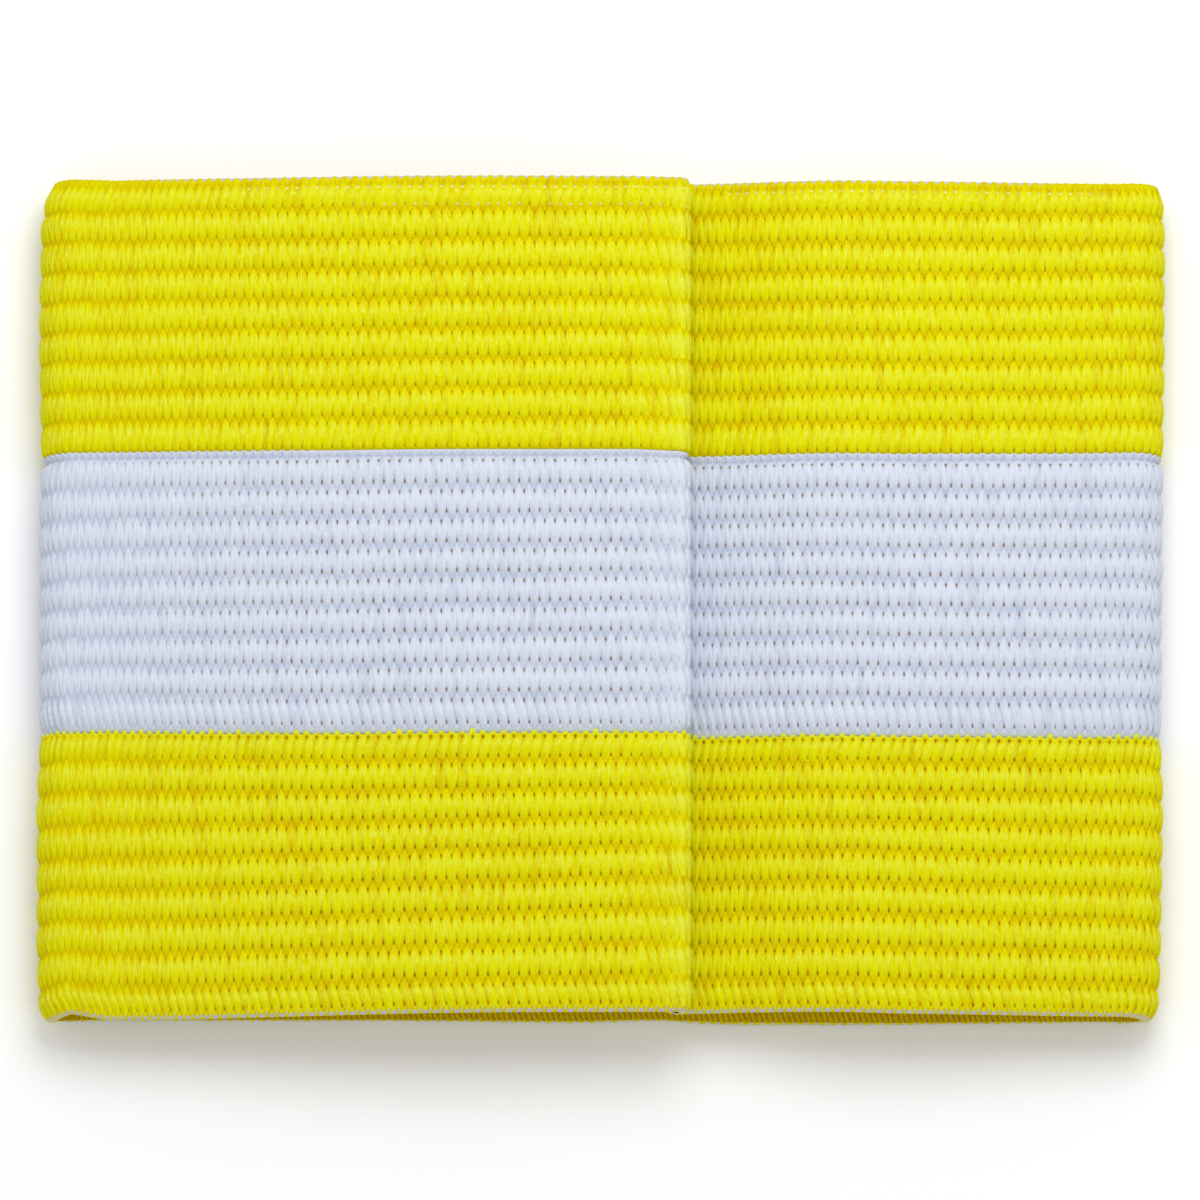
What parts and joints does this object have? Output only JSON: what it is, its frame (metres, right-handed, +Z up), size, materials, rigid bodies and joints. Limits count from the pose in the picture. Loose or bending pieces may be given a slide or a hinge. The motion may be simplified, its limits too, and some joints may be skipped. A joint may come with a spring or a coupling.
{
  "type": "captain armband",
  "caption": "Flat-lying loop of ribbed knitted elastic in yellow, white and yellow stripes, with a turned-in seam across the front, worn round the upper arm.",
  "frame": {"origin": "centre of the underside of the bounding box, on the surface that the band lies on", "axes": "+X along the flat loop towards the right-hand fold, +Y across the tape towards the upper stripe, +Z up from the surface"},
  "size_m": [0.107, 0.0806, 0.0091],
  "materials": {
    "yellow_yarn": "ribbed knitted elastic, matte with a slight yarn sheen",
    "white_yarn": "ribbed knitted elastic, matte with a slight yarn sheen"
  },
  "bodies": {
    "root": {"lower_stripe": "yellow_yarn", "centre_stripe": "white_yarn", "upper_stripe": "yellow_yarn"}
  },
  "joints": []
}
